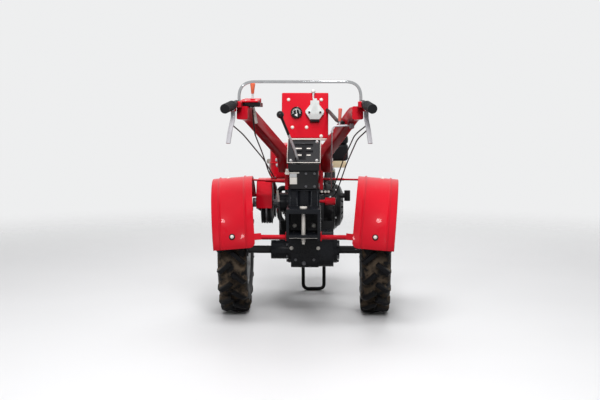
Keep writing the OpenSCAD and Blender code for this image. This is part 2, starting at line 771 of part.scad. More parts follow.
module tyre() {
    w = tyre_w;
    r = tread_r;
    mid = (rim_r + r) / 2;
    out = [[rim_r, 0.32 * w], [rim_r + 14, 0.38 * w], [mid - 20, 0.485 * w], [mid + 15, 0.5 * w],
        [r - 24, 0.46 * w], [r - 8, 0.36 * w], [r, 0.12 * w]];
    in = [[rim_r, 0.24 * w], [mid - 15, 0.41 * w], [mid + 15, 0.42 * w], [r - 26, 0.34 * w],
        [r - 15, 0.1 * w]];
    function flip(p) = [for (i = [len(p) - 1 : -1 : 0]) [p[i].x, -p[i].y]];
    translate([track / 2, 0, 0]) {
        turned_x(0, 0, concat(out, flip(out), [for (q = in) [q.x, -q.y]], [for (q = flip(in)) [q.x, -q.y]]));
        for (i = [0 : lug_count - 1]) {
            rotate([360 * i / lug_count, 0, 0]) lug();
            rotate([360 * (i + 0.5) / lug_count, 0, 0]) other_side() lug();
        }
    }
}
module tyre_left() color("black") at_axle() other_side() tyre();
module tyre_right() color("black") at_axle() tyre();

module rim() {
    seat = rim_r - gap;
    bead = 0.38 * tyre_w + 0.6;
    wall = 5;
    well = seat - 24;
    disc_x = 12;
    disc_t = 8;
    disc = [[30, disc_x], [70, disc_x], [95, disc_x - 12], [well - 4, disc_x - 12]];
    out = [[seat + 14, bead + wall], [seat + 14, bead], [seat, bead - 5], [seat, 28], [well, 18], [well, -18],
        [seat, -28], [seat, 5 - bead], [seat + 14, -bead], [seat + 14, -bead - wall]];
    in = [[seat - wall, -bead - wall], [seat - wall, -30], [well - wall, -20], [well - wall, 20],
        [seat - wall, 30], [seat - wall, bead + wall]];
    translate([track / 2, 0, 0]) {
        turned_x(0, 0, concat(out, in));
        difference() {
            turned_x(0, 0, concat(disc, [for (i = [len(disc) - 1 : -1 : 0]) disc[i] + [0, disc_t]]));
            for (i = [0 : 4])
                rotate([72 * i, 0, 0]) bar_x(-40, 60, 0, 52, 7);
        }
    }
}
module rim_left() color("silver") at_axle() other_side() rim();
module rim_right() color("silver") at_axle() rim();

module half_shaft(inner) {
    flange = track / 2 + 12;
    bar_x(inner, flange + 30, 0, 0, shaft_r);
    bar_x(flange - 70, flange - 14, 0, 0, shaft_r + 16);
    bar_x(flange - 14, flange, 0, 0, 68);
    for (i = [0 : 4])
        rotate([72 * i, 0, 0]) bar_x(flange - 4, flange + 18, 0, 52, 6);
}
module half_shaft_left() color("dimgray") at_axle() other_side() half_shaft(64);
module half_shaft_right() color("dimgray") at_axle() half_shaft(low_right);

// Stand

module stand() color("black") at_axle() translate([stand_x, 0, 0]) {
    hinge = [0, stand_y, stand_z];
    half = stand_w / 2;
    foot = [0, stand_y + stand_lean, stand_r - axle_z];
    top = hinge + 13 * unit(foot - hinge);
    path = [top - [half, 0, 0], foot - [half, 0, 0], foot + [half, 0, 0], top + [half, 0, 0]];
    difference() {
        bar_x(-half - 8, half + 8, stand_y, stand_z, 16);
        bar_x(-half - 20, half + 20, stand_y, stand_z, stand_pin_r + fit);
    }
    sweep(rounded_path(path, 30, 6), ring(stand_r, 12));
}

frame_rails();
front_bumper();
gearbox_case();
rear_cover();
shift_box();
handle_base();
shift_gate();
gear_lever();
dash_panel();
gauge();
lever_bracket();
throttle_lever();
hitch_bracket();
hitch_pin();
fender_left();
fender_right();
fender_stays_left();
fender_stays_right();
handle_arm_left();
handle_arm_right();
hoop();
grip_left();
grip_right();
hand_lever_left();
hand_lever_right();
clutch_quadrant();
clutch_lever();
diff_lever();
pto_lever();
cables();
engine_block();
engine_cylinder();
fan_housing();
recoil_cover();
fuel_tank();
fuel_cap();
muffler();
air_cleaner();
carburettor();
engine_pulley();
gearbox_pulley();
drive_belts();
belt_guard();
tyre_left();
tyre_right();
rim_left();
rim_right();
half_shaft_left();
half_shaft_right();
stand();
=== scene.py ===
from math import asin, atan2, cos, pi, radians, sin, sqrt, tau

import bmesh
import bpy
from mathutils import Matrix, Vector


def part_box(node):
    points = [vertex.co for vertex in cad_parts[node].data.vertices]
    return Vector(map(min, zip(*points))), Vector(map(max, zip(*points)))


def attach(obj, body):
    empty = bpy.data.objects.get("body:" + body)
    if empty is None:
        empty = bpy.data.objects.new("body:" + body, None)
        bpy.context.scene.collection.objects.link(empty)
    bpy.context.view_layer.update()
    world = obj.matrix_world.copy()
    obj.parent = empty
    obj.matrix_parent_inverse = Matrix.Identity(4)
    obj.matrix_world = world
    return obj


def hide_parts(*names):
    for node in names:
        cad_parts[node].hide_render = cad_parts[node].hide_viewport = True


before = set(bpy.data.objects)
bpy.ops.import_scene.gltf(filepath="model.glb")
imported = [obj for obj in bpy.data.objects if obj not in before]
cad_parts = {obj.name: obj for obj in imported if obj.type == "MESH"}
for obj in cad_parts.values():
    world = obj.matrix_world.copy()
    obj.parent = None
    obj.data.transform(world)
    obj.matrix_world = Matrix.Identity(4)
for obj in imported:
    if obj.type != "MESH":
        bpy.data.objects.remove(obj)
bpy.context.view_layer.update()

# The viewing place: behind the handles at about hoop height, through a long lens, so that the
# machine is seen nearly square from the back.


def new_object(name, data):
    """An object in the scene, at the origin."""
    made = bpy.data.objects.new(name, data)
    bpy.context.collection.objects.link(made)
    return made


lens = bpy.data.cameras.new("viewer")
lens.lens = 70.2
lens.sensor_width = 36
lens.sensor_fit = "HORIZONTAL"
viewer = new_object("viewer", lens)
viewer.location = (0.140, -5.360, 1.077)
viewer.rotation_euler = (radians(90 - 5.7), 0, radians(1.73))
bpy.context.scene.camera = viewer

# The studio: a wide pale floor that keeps the shadow, broad soft lamps over, behind and before the
# machine, two small lamps that glint in its paint, and a pale surround.
bpy.context.scene.view_settings.view_transform = "Standard"


class Wire:
    """A shader socket. Sums and products of wires add Math nodes, and node() adds any other node."""

    def __init__(self, tree, socket):
        self.tree = tree
        self.socket = socket

    def node(self, kind, settings=None, values=None, out=0):
        made = self.tree.nodes.new("ShaderNode" + kind)
        for name, value in (settings or {}).items():
            setattr(made, name, value)
        for name, value in (values or {}).items():
            if isinstance(value, Wire):
                self.tree.links.new(value.socket, made.inputs[name])
            else:
                made.inputs[name].default_value = value
        return Wire(self.tree, made.outputs[out])

    def maths(self, operation, first, second):
        return self.node("Math", {"operation": operation}, {0: first, 1: second})

    def __add__(self, other):
        return self.maths("ADD", self, other)

    __radd__ = __add__

    def __mul__(self, other):
        return self.maths("MULTIPLY", self, other)

    __rmul__ = __mul__

    def at_most(self, other):
        return self.maths("MINIMUM", self, other)

    def noise(self, scale, detail=2.0):
        return self.node("TexNoise", {}, {"Vector": self, "Scale": scale, "Detail": detail})

    def length(self):
        return self.node("VectorMath", {"operation": "LENGTH"}, {0: self}, out=1)

    def between(self, start, end, **settings):
        """0 at the start of a range, 1 at its end, and held beyond them."""
        return self.node("MapRange", settings, {"Value": self, "From Min": start, "From Max": end})

    def blend(self, low, high):
        """A colour between two, each of them a wire or a triple."""
        low, high = (shade if isinstance(shade, Wire) else (*shade, 1) for shade in (low, high))
        return self.node("Mix", {"data_type": "RGBA"}, {0: self, 6: low, 7: high}, out=2)

    def tint(self, colour, low, high, lift=0.0):
        """A colour that wanders between two shares of itself, the higher one lifted."""
        dark = [low * part for part in colour]
        pale = [min(1.0, high * part + lift) for part in colour]
        return self.blend(dark, pale)

    def bump(self, strength, depth):
        return self.node("Bump", {}, {"Strength": strength, "Distance": depth, "Height": self})


def new_finish(name, **constants):
    """A material, the wire of its Object coordinates, and a call that feeds one of its sockets."""
    finish = bpy.data.materials.new(name)
    finish.use_nodes = True
    tree = finish.node_tree
    shader = tree.nodes["Principled BSDF"]
    for socket, value in constants.items():
        shader.inputs[socket.replace("_", " ").title().replace("Ior", "IOR")].default_value = value
    place = Wire(tree, tree.nodes.new("ShaderNodeTexCoord").outputs["Object"])

    def feed(socket, wire):
        tree.links.new(wire.socket, shader.inputs[socket])

    return finish, place, feed


def ray_kind(tree, *kinds):
    """A wire that is 1 for the kinds of ray named and 0 for the others."""
    path = tree.nodes.new("ShaderNodeLightPath")
    first, *others = (Wire(tree, path.outputs[f"Is {kind} Ray"]) for kind in kinds)
    return sum(others, first).at_most(1.0)


floor_fade, floor_end = 1.6, 5.0
floor_finish, place, feed = new_finish("studio_floor")
pale = place.noise(1.5).blend((0.72, 0.72, 0.73), (0.76, 0.76, 0.77))
seen = ray_kind(place.tree, "Camera", "Glossy")
feed("Base Color", seen.blend((0.02, 0.02, 0.02), pale))
feed("Roughness", 0.5 + 0.1 * place.noise(6.0))
feed("Alpha", place.length().between(floor_end, floor_fade, interpolation_type="SMOOTHSTEP"))
floor_mesh = bpy.data.meshes.new("floor")
bm = bmesh.new()
bmesh.ops.create_grid(bm, x_segments=1, y_segments=1, size=6)
bm.to_mesh(floor_mesh)
bm.free()
floor_mesh.materials.append(floor_finish)
studio_floor = new_object("studio_floor", floor_mesh)

surround = bpy.data.worlds.new("surround")
surround.use_nodes = True
bpy.context.scene.world = surround
tree = surround.node_tree
sky = tree.nodes["Background"]
looked_at = ray_kind(tree, "Camera", "Transmission", "Glossy")
sky.inputs["Color"].default_value = (0.93, 0.935, 0.94, 1)
strength = 0.05 + 0.87 * looked_at
tree.links.new(strength.socket, sky.inputs["Strength"])

lamps_aim = Vector((0, 0.1, 0.55))
lamps = [
    ("lamp_over", (-0.5, -0.9, 4.2), 2.2, 112, False),
    ("lamp_behind", (0.6, -4.4, 3.7), 1.6, 158, False),
    ("lamp_front", (0.4, 3.4, 3.2), 2.0, 80, False),
    ("lamp_small", (0.2, -2.4, 3.7), 0.4, 24, True),
    ("lamp_side", (-1.7, -4.2, 2.3), 0.4, 20, True),
]
for name, where, width, power, mirrored in lamps:
    lamp = bpy.data.lights.new(name, "AREA")
    lamp.size = width
    lamp.energy = power
    holder = new_object(name, lamp)
    holder.location = where
    holder.visible_glossy = mirrored
    holder.rotation_euler = (lamps_aim - Vector(where)).to_track_quat("-Z", "Y").to_euler()

# The frame: two folded steel channels with cross members, the engine's bed and the stand's lugs,
# welded up, sprayed satin black and bolted to the gear case by the flange at the back. All
# pieces are drawn in millimetres about the middle of the axle.
tyre_low, tyre_high = (Vector(corner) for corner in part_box("tyre_left"))
axle = Vector((0, (tyre_low.y + tyre_high.y) / 2, (tyre_low.z + tyre_high.z) / 2))
to_frame = Matrix.Translation(axle) @ Matrix.Scale(0.001, 4)
forward, backward, upward = (0, 1, 0), (0, -1, 0), (0, 0, 1)


def enamel(name, colour, roughness, coat, peel=0.12):
    """Sprayed enamel: a nearly even colour with a soft orange peel and a trace of dust."""
    finish, place, feed = new_finish(name, coat_weight=coat, coat_roughness=0.04,
                                     specular_ior_level=0.1)
    feed("Base Color", place.noise(7.0, 4.0).tint(colour, 0.88, 1.10, 0.003))
    feed("Roughness", roughness - 0.05 + 0.12 * place.noise(22.0, 3.0))
    feed("Normal", place.noise(360.0, 1.0).bump(peel, 0.0004))
    return finish


def plated(name, colour, roughness, grain=0.06, metallic=0.5):
    """Bright plating over steel: part metallic, slightly cloudy, with a fine grain."""
    finish, place, feed = new_finish(name, metallic=metallic)
    feed("Base Color", place.noise(40.0, 3.0).tint(colour, 0.80, 1.0))
    feed("Roughness", roughness - 0.04 + 0.1 * place.noise(90.0, 3.0))
    feed("Normal", place.noise(700.0, 2.0).bump(grain, 0.0003))
    return finish


def moved(bm, place):
    """A shape, put at a placing."""
    bmesh.ops.transform(bm, matrix=place, verts=bm.verts)
    return bm


def outward(bm):
    """A shape with all its faces turned outward."""
    bmesh.ops.recalc_face_normals(bm, faces=bm.faces)
    return bm


def eased(bm, geom, width, segments, affect="EDGES", clamp=False):
    """Some edges of a shape, or corners of a face, rounded over a width."""
    return bmesh.ops.bevel(bm, geom=geom, offset=width, offset_type="OFFSET", segments=segments,
                           profile=0.5, affect=affect, material=-1, clamp_overlap=clamp)


def softened(node, width, segments=2):
    """A copy of a solid's mesh with its triangles joined into faces and its sharp edges rounded."""
    bm = bmesh.new()
    bm.from_mesh(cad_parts[node].data)
    moved(bm, to_frame.inverted())
    bmesh.ops.remove_doubles(bm, verts=bm.verts, dist=0.01)
    bmesh.ops.dissolve_limit(bm, angle_limit=radians(1.5), verts=bm.verts, edges=bm.edges)
    least = radians(32)
    sharp = [edge for edge in bm.edges if edge.calc_face_angle(0) > least]
    eased(bm, sharp, width, segments, clamp=True)
    return bm


def flatten(shapes):
    """One list of meshes out of nested lists of them."""
    if isinstance(shapes, bmesh.types.BMesh):
        return [shapes]
    return [shape for group in shapes for shape in flatten(group)]


def new_piece(name, shapes, finish, node=None, body="chassis"):
    """One object out of the shapes, put at its place on the machine, fixed to a body and shown
    instead of a node."""
    whole = bmesh.new()
    for shape in flatten(shapes):
        part = bpy.data.meshes.new("part")
        shape.to_mesh(part)
        shape.free()
        whole.from_mesh(part)
        bpy.data.meshes.remove(part)
    moved(whole, to_frame)
    mesh = bpy.data.meshes.new(name)
    whole.to_mesh(mesh)
    whole.free()
    mesh.shade_smooth()
    mesh.set_sharp_from_angle(angle=radians(35))
    mesh.materials.append(finish)
    piece = new_object(name, mesh)
    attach(piece, body)
    if node:
        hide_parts(node)
    return piece


def solid_piece(name, node, width, finish, segments=2, body="chassis"):
    """A piece with the shape of a node's solid, softened, in that node's place."""
    new_piece(name, softened(node, width, segments), finish, node, body)


def facing(point, normal):
    """The placing of something that stands at a point along a normal."""
    turn = Vector(normal).to_track_quat("Z", "Y")
    return Matrix.Translation(point) @ turn.to_matrix().to_4x4()


def turned(profile, place, steps=40):
    """A profile of (radius, height) spun once round the axis that the placing gives."""
    bm = bmesh.new()
    line = [bm.verts.new((radius, 0, height)) for radius, height in profile]
    edges = [bm.edges.new(pair) for pair in zip(line, line[1:])]
    bmesh.ops.spin(bm, geom=line + edges, axis=upward, angle=tau, steps=steps, use_merge=True)
    bmesh.ops.remove_doubles(bm, verts=bm.verts, dist=0.001)
    return moved(outward(bm), place)


def bolt(point, normal, across, height):
    """A hexagon bolt head, of a width across its flats, on its washer."""
    place = facing(point, normal)
    corner = across / 2 / cos(pi / 6)
    head = bmesh.new()
    bmesh.ops.create_cone(head, cap_ends=True, segments=6, radius1=corner, radius2=corner, depth=height,
                          matrix=place @ Matrix.Translation((0, 0, 1.4 + height / 2)))
    eased(head, head.edges, 0.08 * across, 1)
    rim, thick = 0.68 * across, 1.5
    washer = turned([(0, 0), (rim, 0), (rim, thick - 0.4), (rim - 0.4, thick), (0, thick)], place, 20)
    return [head, washer]


black_satin = enamel("black_satin", (0.009, 0.009, 0.010), 0.32, 0.1)
zinc = plated("zinc", (0.58, 0.59, 0.60), 0.3)
dark_zinc = plated("dark_zinc", (0.12, 0.12, 0.13), 0.3)
cream_zinc = plated("cream_zinc", (0.86, 0.82, 0.76), 0.34, metallic=0.2)
solid_piece("rail_frame", "frame_rails", 1.6, black_satin)
flange_bolts = [bolt((side * 116, 137, z), forward, 17, 10) for side in (-1, 1) for z in (60, 102)]
bed_bolts = [bolt((side * 104, y, 43), upward, 14, 9) for side in (-1, 1) for y in (296, 508)]
plate_bolts = [bolt((side * 78, 700, 40), forward, 14, 9) for side in (-1, 1)]
new_piece("frame_bolts", [flange_bolts, bed_bolts, plate_bolts], zinc)

# The front bumper: one bent steel tube with a cross tube, welded to the plate on the rails' ends
# and sprayed with the frame.


def rounded_path(corners, bend, steps=8):
    """A path through the corners, each inner one rounded off over the length bend."""
    corners = [Vector(corner) for corner in corners]
    path = [corners[0]]
    for before, corner, after in zip(corners, corners[1:], corners[2:]):
        start = corner + bend * (before - corner).normalized()
        stop = corner + bend * (after - corner).normalized()
        for step in range(steps + 1):
            part = step / steps
            path.append(start.lerp(corner, part).lerp(corner.lerp(stop, part), part))
    return path + [corners[-1]]


def stations(path, upright=False):
    """The placing of a section at each point of a path, kept upright or turned as little as can be."""
    path = [Vector(point) for point in path]
    places = []
    turn = None
    for index, point in enumerate(path):
        ahead = (path[min(index + 1, len(path) - 1)] - path[max(index - 1, 0)]).normalized()
        if upright:
            side = ahead.cross(upward).normalized()
            turn = Matrix((side, side.cross(ahead), -ahead)).transposed().to_quaternion()
        elif turn is None:
            turn = ahead.to_track_quat("-Z", "Y")
        else:
            turn = (turn @ Vector((0, 0, -1))).rotation_difference(ahead) @ turn
        places.append(Matrix.Translation(point) @ turn.to_matrix().to_4x4())
    return places


def pulled(bm, face, places):
    """A face that stands at the first placing, pulled through the others into a bar."""
    for before, after in zip(places, places[1:]):
        grown = bmesh.ops.extrude_face_region(bm, geom=[face])["geom"]
        face = next(part for part in grown if isinstance(part, bmesh.types.BMFace))
        bmesh.ops.transform(bm, matrix=after @ before.inverted(), verts=face.verts)
    return outward(bm)


def round_bar(path, radius, sides=20, edge=0.0):
    """A round bar or tube along a path, with its end rims rounded."""
    bm = bmesh.new()
    places = stations(path)
    ring = bmesh.ops.create_circle(bm, cap_ends=True, segments=sides, radius=radius, matrix=places[0])
    pulled(bm, ring["verts"][0].link_faces[0], places)
    if edge:
        rims = [side for face in bm.faces if len(face.verts) > 4 for side in face.edges]
        eased(bm, rims, edge, 3)
    return bm


def square_bar(path, width, height, corner):
    """A square or flat bar along a path, kept upright, with its corners rounded."""
    bm = bmesh.new()
    places = stations(path, upright=True)
    flat = places[0] @ Matrix.Diagonal((width, height, 1, 1)) @ Matrix.Rotation(pi / 4, 4, "Z")
    ring = bmesh.ops.create_circle(bm, cap_ends=True, segments=4, radius=sqrt(0.5), matrix=flat)
    cut = eased(bm, ring["verts"], corner, 3, "VERTICES")
    return pulled(bm, cut["verts"][0].link_faces[0], places)


bumper_half = [(108, 700, 12), (108, 745, 12), (160, 786, 60), (160, 786, 220)]
bumper_path = [(-x, y, z) for x, y, z in bumper_half] + bumper_half[::-1]
bumper = [round_bar(rounded_path(bumper_path, 22), 14, 24),
          round_bar([(-160, 786, 120), (160, 786, 120)], 10)]
new_piece("bumper_tube", bumper, black_satin, "front_bumper")

# The stand: a bent steel rod welded to a sleeve that swings on the frame's pivot, sprayed black,
# with its foot on the floor.
hinge, foot = Vector((29, 500, -33)), Vector((29, 557, -286))
leg = Vector((54, 0, 0))
knee = hinge + 13 * (foot - hinge).normalized()
bore, end = 9.05, 62
sleeve = turned([(bore, -end), (15.5, -end), (16, 0.6 - end), (16, end - 0.6), (15.5, end), (bore, end),
                 (bore, -end)], facing(hinge, (1, 0, 0)))
rod = round_bar(rounded_path([knee - leg, foot - leg, foot + leg, knee + leg], 30), 9)
new_piece("stand_rod", [sleeve, rod], black_satin, "stand", "stand")

# The engine's crankcase: an aluminium casting on the frame's bed, with a bolted side cover, a
# filler plug and posts for the tank.


def casting(name, colour, roughness, metallic=0.0, depth=0.0005):
    """A sand casting: mottled, with the grain of the mould in it."""
    finish, place, feed = new_finish(name, metallic=metallic, specular_ior_level=0.14)
    feed("Base Color", place.noise(26.0, 5.0).tint(colour, 0.72, 1.22))
    feed("Roughness", roughness - 0.08 + 0.16 * place.noise(60.0, 3.0))
    feed("Normal", (place.noise(260.0, 3.0) + 0.6 * place.noise(60.0, 2.0)).bump(0.5, depth))
    return finish


crank_y, crank_z = 400, 167
engine_grey = casting("engine_grey", (0.040, 0.041, 0.043), 0.38, 0.3)
solid_piece("crankcase", "engine_block", 4, engine_grey, segments=3)
cover_seats = [(-105, crank_y + 84 * cos(turn), crank_z - 12 + 82 * sin(turn))
               for turn in (0.35, 1.2, 1.95, 2.8, 3.5, 5.9)]
cover_bolts = [bolt(seat, (-1, 0, 0), 10, 7) for seat in cover_seats]
foot_bolts = [bolt((x, y, 59), upward, 13, 9) for x in (-98, 70) for y in (294, 508)]
drain = bolt((0, 505, 75), forward, 17, 9)
new_piece("crankcase_bolts", [cover_bolts, foot_bolts, drain], zinc)

# The cylinder: finned aluminium leaning forward out of the crankcase, with its head and a
# pressed rocker cover held by bolts.
bare_aluminium = casting("bare_aluminium", (0.30, 0.31, 0.32), 0.36, 0.8, 0.0003)
solid_piece("finned_cylinder", "engine_cylinder", 0.9, bare_aluminium)
lean = radians(25)
along = Vector((0, cos(lean), sin(lean)))
across = Vector((0, -along.z, along.y))
head = Vector((-5, crank_y, crank_z))
head_bolts = [bolt(head + 262 * along + x * Vector((1, 0, 0)) + v * across, along, 12, 8)
              for x in (-64, 64) for v in (-64, 64)]
rocker_bolts = [bolt(head + 300 * along + v * across, along, 10, 7) for v in (-34, 34)]
plug = turned([(0, 0), (10, 0), (10, 8), (7, 10), (7, 28), (5, 30), (5, 36), (0, 36)],
              facing(head + 251 * along - 74 * across, -across))
new_piece("cylinder_bolts", [head_bolts, rocker_bolts], zinc)
new_piece("spark_plug", plug, bare_aluminium)

# The fan's shroud and the recoil starter: black pressings on the engine's right side, the
# starter slotted for air, with a moulded pull handle.
black_gloss = enamel("black_gloss", (0.010, 0.010, 0.011), 0.2, 0.25, 0.06)


def moulded(name, colour, roughness, grain=0.2):
    """Moulded plastic: an even colour under a fine spark grain."""
    finish, place, feed = new_finish(name, specular_ior_level=0.12)
    feed("Base Color", place.noise(12.0, 3.0).tint(colour, 0.9, 1.0))
    feed("Roughness", roughness - 0.04 + 0.09 * place.noise(50.0, 2.0))
    feed("Normal", place.noise(900.0, 1.0).bump(grain, 0.0002))
    return finish


black_plastic = moulded("black_plastic", (0.011, 0.011, 0.012), 0.36)
solid_piece("fan_shroud", "fan_housing", 7, black_gloss, segments=4)
solid_piece("starter_cover", "recoil_cover", 2, black_satin)
shroud_seats = [(140, crank_y + 114 * cos(turn), crank_z + 114 * sin(turn))
                for turn in (0.9, 2.3, 3.6, 4.9)]
shroud_bolts = [bolt(seat, (1, 0, 0), 9, 6) for seat in shroud_seats]
new_piece("shroud_bolts", shroud_bolts, zinc)

# The fuel tank: two deep-drawn steel halves joined by a welded seam and painted red, on posts over
# the crankcase, with a moulded screw cap.


def soft_box(low, high, corner=2, edge=1):
    """A box with its upright edges rounded wide and the edges of its ends rounded less."""
    low, high = Vector(low), Vector(high)
    bm = bmesh.new()
    size = high - low
    place = Matrix.Translation((low + high) / 2) @ Matrix.Diagonal((*size, 1))
    bmesh.ops.create_cube(bm, size=1, matrix=place)
    upright = [side for side in bm.edges if abs((side.verts[0].co - side.verts[1].co).z) > size.z / 2]
    eased(bm, upright, corner, 8)
    rims = [side for side in bm.edges if abs((side.verts[0].co - side.verts[1].co).z) < 0.01]
    eased(bm, rims, edge, 6)
    return bm


red_gloss = enamel("red_gloss", (0.60, 0.005, 0.018), 0.3, 0.16, 0.06)
tank = soft_box((-184, 288, 310), (78, 512, 480), 42, 18)
seam = soft_box((-188, 284, 386), (82, 516, 391), 45, 2)
new_piece("tank_shell", [tank, seam], red_gloss, "fuel_tank")
solid_piece("tank_cap", "fuel_cap", 1.6, black_plastic)

# The silencer: a pressed steel can on the head's left side, browned by heat in patches, with slats
# over its outer face, hung from the exhaust port by its neck.
heated_steel, place, feed = new_finish("heated_steel", metallic=0.9)
patches = place.noise(14.0, 5.0)
browned = patches.between(0.3, 0.55).blend((0.30, 0.24, 0.19), (0.42, 0.39, 0.36))
feed("Base Color", patches.between(0.55, 0.75).blend(browned, (0.52, 0.51, 0.50)))
feed("Roughness", 0.34 + 0.2 * place.noise(40.0, 3.0))
feed("Normal", place.noise(300.0, 2.0).bump(0.2, 0.0003))
port_y, port_z = 627.5, 273
can = soft_box((-199, port_y - 62, 295), (-89, port_y + 62, 405), 24, 14)
slats = [soft_box((-203, 582 + 15 * row, 312), (-198, 589 + 15 * row, 388)) for row in range(7)]
neck = round_bar([(-117, port_y, port_z), (-77, port_y, port_z)], 10)
riser = round_bar([(-105, port_y, port_z), (-105, port_y, port_z + 40)], 14)
outlet = turned([(10, 40), (10, 57), (13, 57), (13, 0), (0, 0)],
                facing((-172, port_y, 373), (-0.707, 0.707, 0)))
new_piece("silencer", [can, slats, neck, riser, outlet], heated_steel, "muffler")

# The air cleaner: a moulded black box with a clipped lid, held by a yellow-plated bracket over the
# carburettor's cast body.
cleaner = soft_box((92, 530, 383), (206, 668, 470), 30, 16)
lid = soft_box((92, 530, 468), (206, 668, 516), 31, 18)
knob = turned([(0, 0), (14, 0), (15, 2), (15, 6), (0, 6)], facing((140, 599, 511), upward), 24)
new_piece("cleaner_box", [cleaner, lid, knob], black_plastic, "air_cleaner")
yellow_zinc = plated("yellow_zinc", (0.86, 0.76, 0.50), 0.34)
new_piece("cleaner_bracket", soft_box((98, 530, 350), (196, 534, 384), 1.5, 1), yellow_zinc)
solid_piece("carburettor_body", "carburettor", 3, bare_aluminium)

# The gear case: black-painted iron castings bolted together, carrying the axle housings on both
# sides of the lower case, with a drain plug at the back.
cast_black = casting("cast_black", (0.010, 0.011, 0.014), 0.28)
solid_piece("gear_case", "gearbox_case", 6, cast_black, segments=3)
housing_seats = [(53 * cos(turn), 53 * sin(turn)) for turn in (0.5, 1.55, 2.6, 3.65, 4.7, 5.75)]
housing_bolts = [bolt((x, y, z), (x, 0, 0), 12, 8) for x in (-80, 149) for y, z in housing_seats]
case_bolts = [bolt((side * 50, -190, z), backward, 12, 8) for side in (-1, 1) for z in (104, 296)]
lower_bolts = [bolt((x, -115, -32), backward, 10, 7) for x in (-42, 42)]
drain_plug = bolt((-4, -115, -48), backward, 15, 9)
side_bolts = [bolt((side * 68, y, z), (side, 0, 0), 11, 7)
              for side in (-1, 1) for y in (-160, -60, 100) for z in (130, 288)]
new_piece("case_bolts", [housing_bolts, case_bolts, lower_bolts, drain_plug, side_bolts], dark_zinc)

# The rear cover and the shift box on it: a ribbed iron cover, and above it a gloss black box
# that holds the shift rods, with a bare bright plate on its left and, above the plate, a pale strip
# that is a painted highlight on the box's top edge.
solid_piece("ribbed_cover", "rear_cover", 2, cast_black)
solid_piece("shift_case", "shift_box", 4, black_gloss, segments=3)
bright_plate = plated("bright_plate", (0.80, 0.80, 0.80), 0.24)
plate = soft_box((-62, -297.4, 335), (-30, -295.6, 365), 0.8, 0.3)
# A pale strip along the shift box's top edge: a painted highlight.
strip = soft_box((-64, -297.6, 383), (-20, -295.6, 388), 0.8, 0.3)
new_piece("shift_plate_and_highlight", [plate, strip], cream_zinc)
tab = soft_box((-63, -297.2, 366), (-31, -295.6, 382), 0.8, 0.3)
new_piece("shift_tab", tab, zinc)
box_bolts = [bolt((x, -296, z), backward, 9, 6) for x in (10, 48) for z in (325, 382)]
new_piece("shift_bolts", box_bolts, dark_zinc)

# The belt drive: two grooved iron pulleys on the left side, keyed to the crankshaft and to the gear
# case's input shaft, with a pair of rubber belts.


def cured(name, colour, roughness):
    """Cured rubber: dull black with a bloom of dust and a fine skin."""
    finish, place, feed = new_finish(name, specular_ior_level=0.12)
    feed("Base Color", place.noise(18.0, 5.0).tint(colour, 1.0, 2.1, 0.004))
    feed("Roughness", roughness - 0.08 + 0.18 * place.noise(35.0, 4.0))
    feed("Normal", place.noise(420.0, 3.0).bump(0.35, 0.0004))
    return finish


pulley_iron = casting("pulley_iron", (0.20, 0.20, 0.21), 0.38, 0.8, 0.0003)
belt_rubber = cured("belt_rubber", (0.014, 0.014, 0.015), 0.6)
solid_piece("crank_pulley", "engine_pulley", 1.2, pulley_iron)
solid_piece("input_pulley", "gearbox_pulley", 1.2, pulley_iron)
solid_piece("belts", "drive_belts", 0.8, belt_rubber)

# The belt guard: one red pressing, open towards the engine and below, on a bracket from the gear
# case, with a tab that takes the ends of two cables.


def drawn_out(outline, way):
    """A block: a flat outline of points, drawn out along a way."""
    bm = bmesh.new()
    face = bm.faces.new([bm.verts.new(point) for point in outline])
    grown = bmesh.ops.extrude_face_region(bm, geom=[face])["geom"]
    far_end = [part for part in grown if isinstance(part, bmesh.types.BMVert)]
    bmesh.ops.translate(bm, vec=way, verts=far_end)
    return outward(bm)


def folded(outline, depth, place, gone, edge, sheet):
    """A sheet folded round an outline and back by depth, without the walls that face the ways gone."""
    bm = drawn_out([(x, y, 0) for x, y in outline], (0, 0, -depth))
    ways = [Vector(way).normalized() for way in gone]
    open_walls = [wall for wall in bm.faces for way in ways if wall.normal.dot(way) > 0.97]
    bmesh.ops.delete(bm, geom=open_walls, context="FACES")
    eased(bm, [side for side in bm.edges if len(side.link_faces) == 2], edge, 4)
    bmesh.ops.solidify(bm, geom=bm.faces, thickness=sheet)
    return moved(outward(bm), place)


guard_low, guard_high = -229.5, -155.5
guard_top = 330
guard_outline = [(-48, 200), (-48, 266), (5, guard_top), (120, guard_top), (445, 256), (488, 212),
                 (488, 120)]
towards_engine, below = (0, 0, 1), (-80, -536, 0)
side_view = Matrix(((0, 0, 1, guard_high), (1, 0, 0, 0), (0, 1, 0, 0), (0, 0, 0, 1)))
guard = folded(guard_outline, guard_high - guard_low, side_view, [towards_engine, below], 7, 2.5)
bracket = [soft_box((guard_high - 4, 20, guard_top - 9), (-68, 60, guard_top)),
           soft_box((-74, 20, 292), (-68, 60, guard_top))]
tab = [soft_box((guard_high - 4, -48, guard_top - 8), (guard_high + 24, -42, 356)),
       soft_box((guard_high - 4, -48, guard_top - 8), (guard_high + 2, 30, guard_top + 6))]
new_piece("guard_shell", [guard, bracket, tab], red_gloss, "belt_guard")

# The hitch: a thick welded steel jaw bolted to the back of the gear case, painted black, with a
# pale strip along its floor's top edge that is a painted highlight, and a plated pin dropped
# through it.
solid_piece("hitch_jaw", "hitch_bracket", 2.5, cast_black)
solid_piece("jaw_pin", "hitch_pin", 1.2, cream_zinc)
jaw_nuts = [bolt((side * 44, -202, 138), backward, 15, 10) for side in (-1, 1)]
jaw_nuts += [bolt((side * 62, -115, 22), backward, 13, 8) for side in (-1, 1)]
# A pale strip along the jaw floor's top edge: a painted highlight.
jaw_edge_highlight = soft_box((-62, -379.6, 102.6), (62, -372, 105), 1, 0.5)
new_piece("jaw_nuts", [jaw_nuts, jaw_edge_highlight], cream_zinc)
